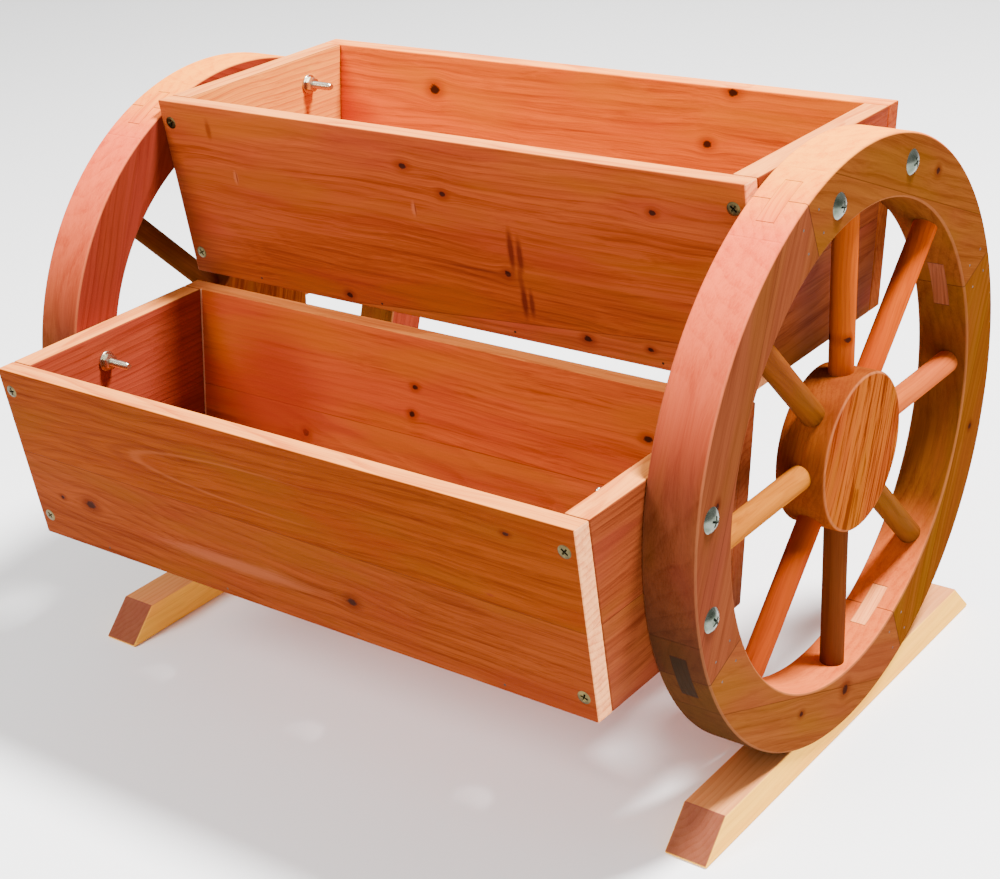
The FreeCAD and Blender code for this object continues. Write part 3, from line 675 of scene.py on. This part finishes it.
def set_in_place(pattern, name, place, direction, twist, material, node_name):
    """Copy a piece modelled along +Z to its place on the cart, pointing in a direction."""
    piece = pattern.copy()
    piece.data = pattern.data.copy()
    piece.name = piece.data.name = name
    bpy.context.scene.collection.objects.link(piece)
    lie = Vector(direction).to_track_quat("Z", "Y").to_matrix().to_4x4()
    piece.data.transform(Matrix.Translation(Vector(place) / 1000) @ lie @ Matrix.Rotation(twist, 4, "Z"))
    piece.data.materials.append(material)
    bpy.ops.object.select_all(action="DESELECT")
    piece.select_set(True)
    bpy.context.view_layer.objects.active = piece
    bpy.ops.object.shade_smooth_by_angle(angle=math.radians(35))
    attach(piece, "root")
    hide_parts(node_name)


# The nuts, washers and bolt ends inside the troughs are painted bright, as painted reflection.
BOLT_ZINC = zinc("bolt_zinc", (0.125, 0.14, 0.115), 0.12, (0.06, 0.075, 0.055), inside=(0.62, 0.59, 0.48))
HEAD_RADIUS = 8.5
DOME_TALL = 3.6
DOME_BALL = (HEAD_RADIUS ** 2 + DOME_TALL ** 2) / 2 / DOME_TALL
arc = [math.asin(HEAD_RADIUS / DOME_BALL) * step / 10 for step in range(10, 0, -1)]
dome = [(DOME_BALL * math.sin(turn), DOME_BALL - DOME_TALL - DOME_BALL * math.cos(turn)) for turn in arc]
head = turned([(6.0, -0.05), *dome], 48)
cross_recess(head, 9.4, -DOME_TALL, 2.6)
shank = turned([(2.6, -0.5), (3.0, -0.4), (3.0, 54), (2.45, 54.6), (2.45, 79.5), (2.0, 80)], 32)
bolt = joined(head, shank, thread(3.0, 2.4, 1.0, 54, 79.6))
BOLTS = ((-158, 256, 0.35), (-158, 188, 0.9), (-6, 403, 0.2), (94, 403, 1.3))
for side, sign in SIDES:
    for number, (y, z, twist) in enumerate(BOLTS):
        set_in_place(bolt, f"{side}_wheel_bolt_{number + 1}", (sign * (WHEEL_X + RIM_HALF_WIDE), y, z),
                     (-sign, 0, 0), twist, BOLT_ZINC, "wheel_bolts")
bpy.data.objects.remove(bolt)

# ---------------------------------------------------------------- washers and nuts
# On each bolt, inside the trough, a punched steel washer against the end board and an M6 hexagon
# nut with chamfered corners and mouths, plated as the bolts are.
WASHER_THICK = 1.4
washer = turned([(7.3, 0), (7.5, 0.2), (7.5, WASHER_THICK - 0.2), (7.3, WASHER_THICK)], 48)
cut_away(washer, turned([(3.15, -1), (3.15, 2.4)], 32))
nut = turned([(5 / math.cos(math.pi / 6), 0), (5 / math.cos(math.pi / 6), 5)], 6)
cut_away(nut, turned([(4.9, 0), (5.9, 0.55), (5.9, 4.45), (4.9, 5)], 48), "INTERSECT")
cut_away(nut, turned([(3.4, -0.3), (2.9, 0.5), (2.9, 4.5), (3.4, 5.3)], 32))
for side, sign in SIDES:
    for number, (y, z, twist) in enumerate(BOLTS):
        set_in_place(washer, f"{side}_washer_{number + 1}", (sign * INSIDE_END, y, z), (-sign, 0, 0), 0,
                     BOLT_ZINC, "wheel_bolt_washers")
        set_in_place(nut, f"{side}_nut_{number + 1}", (sign * (INSIDE_END - WASHER_THICK), y, z), (-sign, 0, 0),
                     0, BOLT_ZINC, "wheel_bolt_nuts")
bpy.data.objects.remove(washer)
bpy.data.objects.remove(nut)

# ---------------------------------------------------------------- wood screws
# Yellow-zinc countersunk screws with a cross recess: two through each end of every long
# board, square to its leaning face, and two up through each runner into the rim.
SCREW_ZINC = zinc("screw_zinc", (0.115, 0.085, 0.03), 0.22, (0.05, 0.040, 0.018))
core = turned([(4.5, 0), (4.8, 0.15), (4.8, 0.5), (2.3, 3.0), (1.7, 3.6), (1.7, 38), (0.3, 44.6)], 32)
cross_recess(core, 6.2, 0, 2.2)
screw = joined(core, thread(2.4, 1.6, 2.0, 9, 43))
SCREW_X = 241
TROUGH_HALF_BASE = 85
for tier, y, z in TROUGHS:
    for row, outward in (("front", -1), ("back", 1)):
        for side, sign in SIDES:
            for level, height in (("low", 17), ("high", 123)):
                face = y + outward * (TROUGH_HALF_BASE + height * math.tan(LEAN))
                set_in_place(screw, f"{tier}_{row}_{side}_{level}_screw", (sign * SCREW_X, face, z + height),
                             (0, -outward * math.cos(LEAN), math.sin(LEAN)),
                             sign * 0.4 + height * 0.7 + outward, SCREW_ZINC,
                             f"{tier}_trough_screws")
for side, sign in SIDES:
    for number, y in enumerate((-11, 79)):
        set_in_place(screw, f"{side}_runner_screw_{number + 1}", (sign * WHEEL_X, y, 1), (0, 0, 1), 0.6 * number,
                     SCREW_ZINC, "runner_screws")
bpy.data.objects.remove(screw)

# ---------------------------------------------------------------- brads
# Plain steel brads with small flat heads: they hold each floor board, through the long boards,
# and pin the keys in the rims, and are driven flush.
BRAD_STEEL = zinc("brad_steel", (0.07, 0.045, 0.03), 0.45, (0.04, 0.025, 0.018))
for node_name in ("lower_trough_floor_brads", "upper_trough_floor_brads", "wheel_rim_key_brads"):
    finish_with(node_name, BRAD_STEEL)
